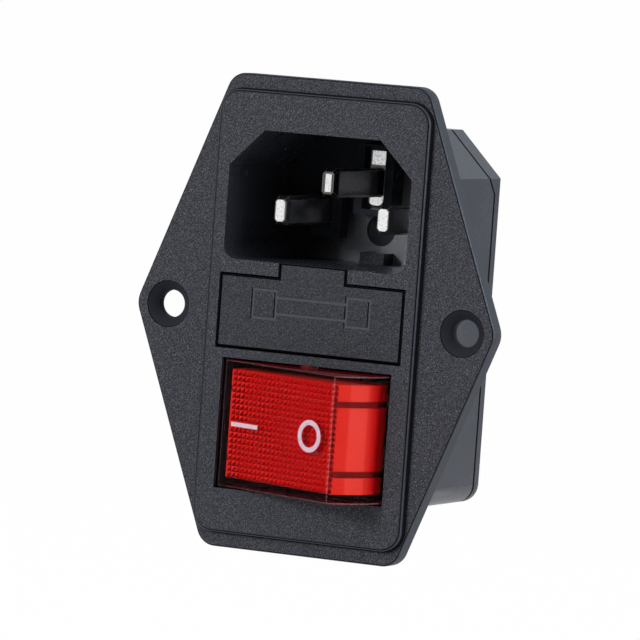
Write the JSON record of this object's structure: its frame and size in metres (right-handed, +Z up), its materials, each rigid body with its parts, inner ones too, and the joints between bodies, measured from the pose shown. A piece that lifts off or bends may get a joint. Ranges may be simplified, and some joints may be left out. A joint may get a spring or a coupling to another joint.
{
  "type": "power entry module",
  "caption": "Panel power entry module: hexagonal screw flange with a recessed three-pin appliance inlet, a pull-out fuse drawer and a red lit rocker switch, tabs at the rear.",
  "frame": {"origin": "centre of the flange's rear face, midway between the two screw holes", "axes": "+X across the width, +Z up from the switch to the inlet, +Y back through the panel"},
  "size_m": [0.0484, 0.0386, 0.0584],
  "materials": {
    "case": "black glass-filled moulding with a fine spark-eroded grain on the front",
    "drawer": "black moulding with a finer grain",
    "plated": "nickel-plated brass",
    "fuse_glass": "clear glass tube",
    "fuse_cap": "nickel-plated cap",
    "wire": "tinned copper wire",
    "clear_red": "clear smoky red acrylic, polished",
    "red": "translucent red with a fine prismatic pattern",
    "carrier": "black moulding",
    "spring": "spring steel",
    "brass": "silvered brass strip and turned brass",
    "lamp_glass": "glass bulb with a faint orange tint",
    "resistor": "tan lacquered body"
  },
  "bodies": {
    "case": {"housing": "case", "rear_cover": "case", "live_pin": "plated", "neutral_pin": "plated", "earth_pin": "plated", "fuse_clip_inlet": "plated", "fuse_clip_outlet": "plated", "switch_inlet_live": "plated", "switch_inlet_neutral": "plated", "switch_outlet_live": "plated", "switch_outlet_neutral": "plated"},
    "drawer": {"fuse_drawer": "drawer", "fuse_tube": "fuse_glass", "spare_fuse_tube": "fuse_glass", "fuse_cap_left": "fuse_cap", "fuse_cap_right": "fuse_cap", "spare_fuse_cap_left": "fuse_cap", "spare_fuse_cap_right": "fuse_cap", "fuse_wire": "wire", "spare_fuse_wire": "wire"},
    "rocker": {"rocker_cap": "clear_red", "rocker_lens": "red", "rocker_carrier": "carrier", "glow_lamp": "lamp_glass", "lamp_resistor": "resistor", "lamp_lead_live": "wire", "lamp_lead_link": "wire", "lamp_lead_neutral": "wire", "plunger_spring_live": "spring", "plunger_spring_neutral": "spring"},
    "plunger_live": {"plunger_live": "brass"},
    "plunger_neutral": {"plunger_neutral": "brass"},
    "blade_live": {"contact_blade_live": "brass"},
    "blade_neutral": {"contact_blade_neutral": "brass"}
  },
  "joints": [
    {"name": "rocker_tilt", "type": "hinge", "parent": "case", "child": "rocker", "pos_m": [0, -0.0016, -0.0138], "axis": [0, 0, 1], "range_deg": [0, 41.6]},
    {"name": "drawer_slide", "type": "slide", "parent": "case", "child": "drawer", "axis": [0, -1, 0], "range_m": [0, 0.018]},
    {"name": "blade_live_rock", "type": "hinge", "parent": "case", "child": "blade_live", "pos_m": [0, 0.00818, -0.0106], "axis": [0, 0, 1], "range_deg": [-16, 0]},
    {"name": "plunger_live_slide", "type": "slide", "parent": "rocker", "child": "plunger_live", "axis": [-0.3551, -0.9348, 0], "range_m": [0, 0.0005], "stiffness_N_per_m": 1000, "springref_m": -0.002},
    {"name": "blade_neutral_rock", "type": "hinge", "parent": "case", "child": "blade_neutral", "pos_m": [0, 0.00818, -0.017], "axis": [0, 0, 1], "range_deg": [-16, 0]},
    {"name": "plunger_neutral_slide", "type": "slide", "parent": "rocker", "child": "plunger_neutral", "axis": [-0.3551, -0.9348, 0], "range_m": [0, 0.0005], "stiffness_N_per_m": 1000, "springref_m": -0.002}
  ],
  "couplings": [
    {"joint": "blade_live_rock", "follows": "rocker_tilt", "ratio": -0.3846},
    {"joint": "blade_neutral_rock", "follows": "rocker_tilt", "ratio": -0.3846}
  ]
}
